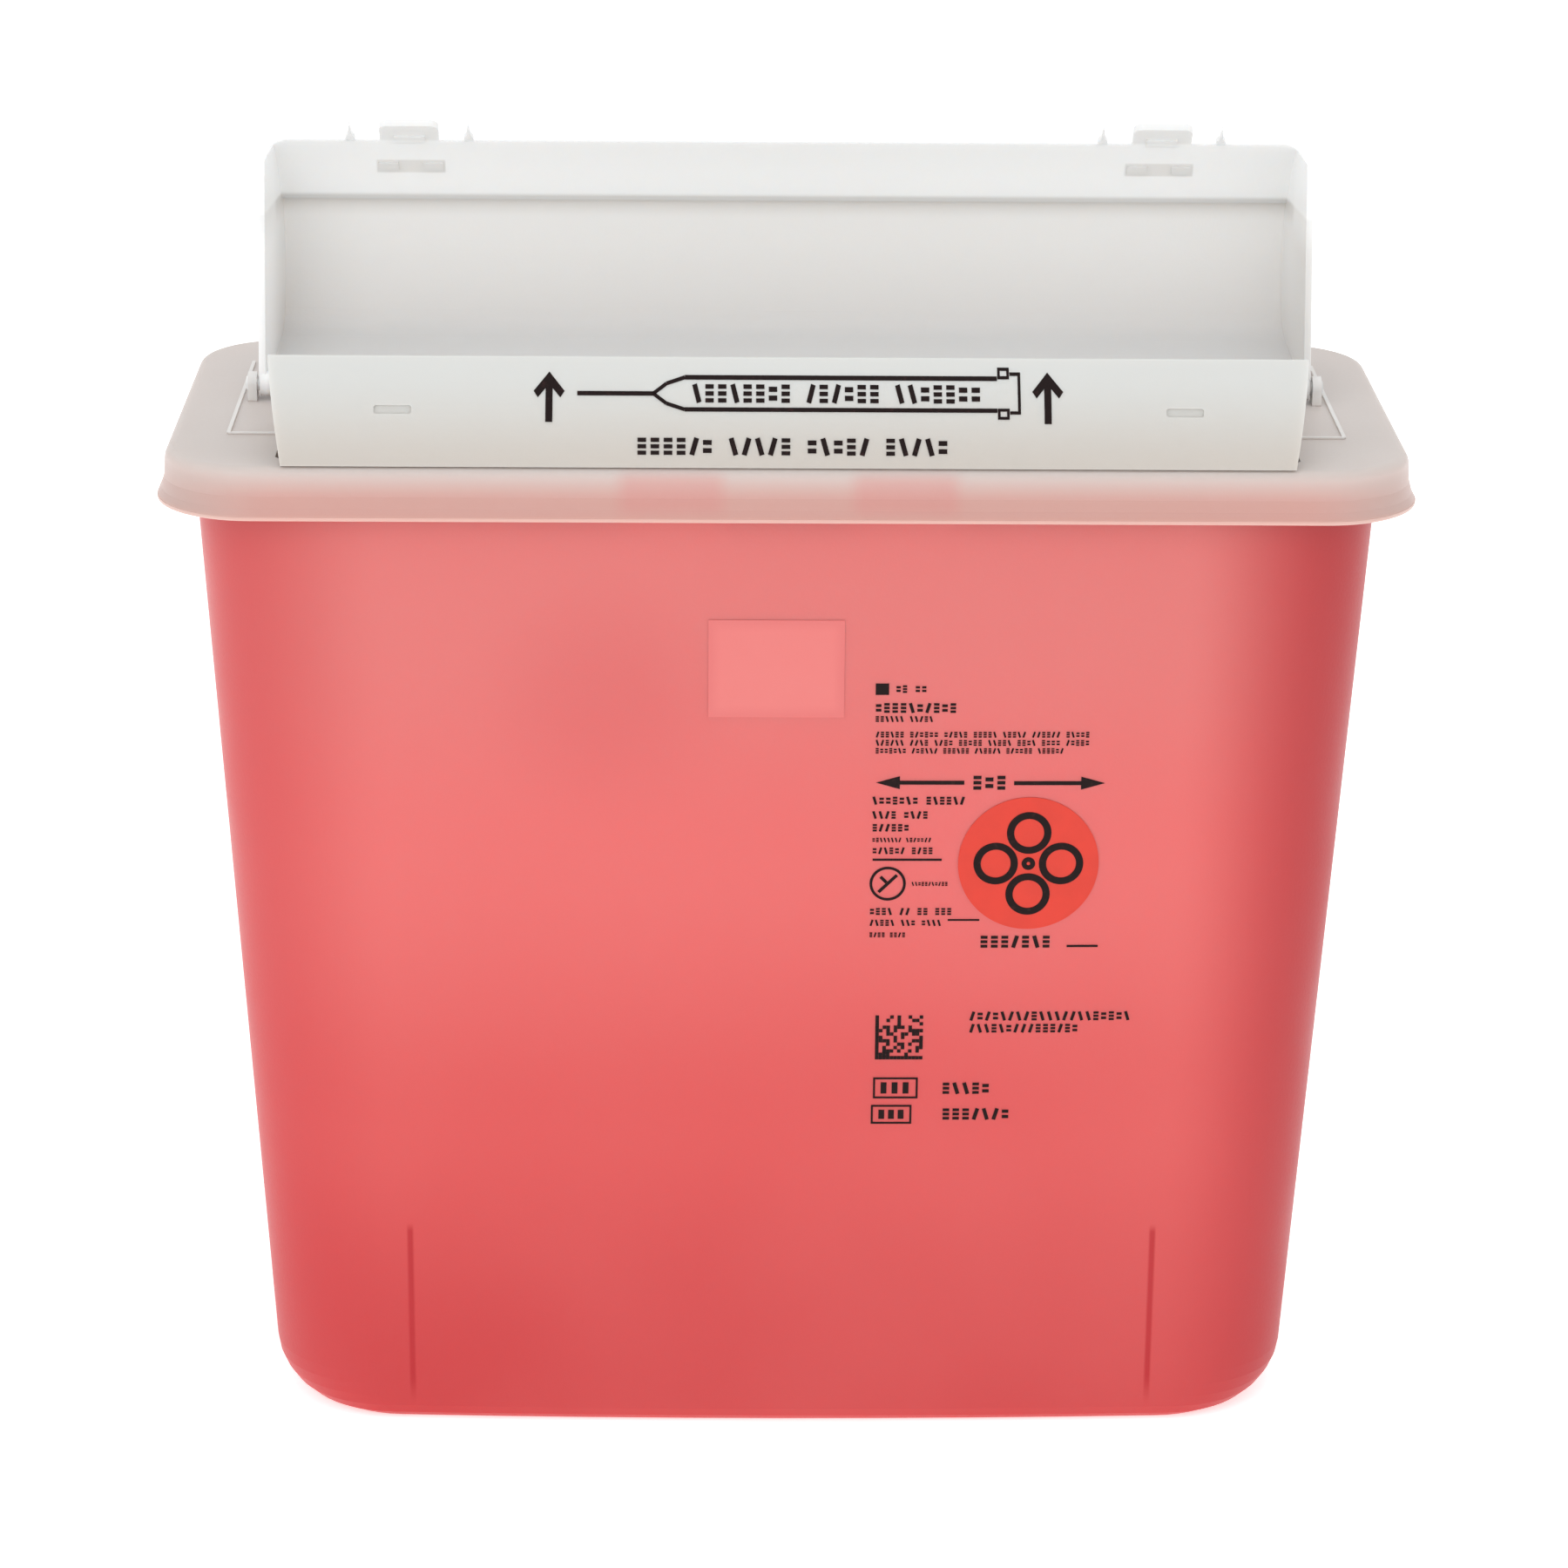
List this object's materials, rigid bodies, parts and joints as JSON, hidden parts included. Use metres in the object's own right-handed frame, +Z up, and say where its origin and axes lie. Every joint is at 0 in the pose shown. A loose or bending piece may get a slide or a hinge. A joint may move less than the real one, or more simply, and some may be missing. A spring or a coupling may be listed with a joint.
{
  "type": "sharps container",
  "caption": "Tapered red tub with a snapped-on white lid, a counterbalanced tipping tray and a hinged closure cover that stands open; takes used needles and syringes.",
  "frame": {"origin": "centre of the base, on the surface that the container stands on", "axes": "+X to the right seen from the front, +Y back towards the wall, +Z up"},
  "size_m": [0.273, 0.121, 0.2883],
  "materials": {
    "tub_plastic": "translucent moulded polypropylene, satin",
    "lid_plastic": "translucent natural polypropylene, satin",
    "tray_plastic": "translucent natural polypropylene, satin, printed",
    "cover_plastic": "translucent natural polypropylene, satin",
    "hazard_orange": "satin printed film",
    "blank_film": "satin write-on film",
    "print_ink": "dry screen-printed ink"
  },
  "bodies": {
    "container": {"tub": "tub_plastic", "lid_frame": "lid_plastic", "hazard_label": "hazard_orange", "blank_label": "blank_film"},
    "tray": {"tray": "tray_plastic"},
    "cover": {"closure_cover": "cover_plastic"}
  },
  "joints": [
    {"name": "tray_lift", "type": "hinge", "parent": "container", "child": "tray", "pos_m": [0, -0.0245, 0.2215], "axis": [-1, 0, 0], "range_deg": [0, 55]},
    {"name": "cover_hinge", "type": "hinge", "parent": "container", "child": "cover", "pos_m": [0, 0.001, 0.232], "axis": [1, 0, 0], "range_deg": [0, 103]}
  ]
}
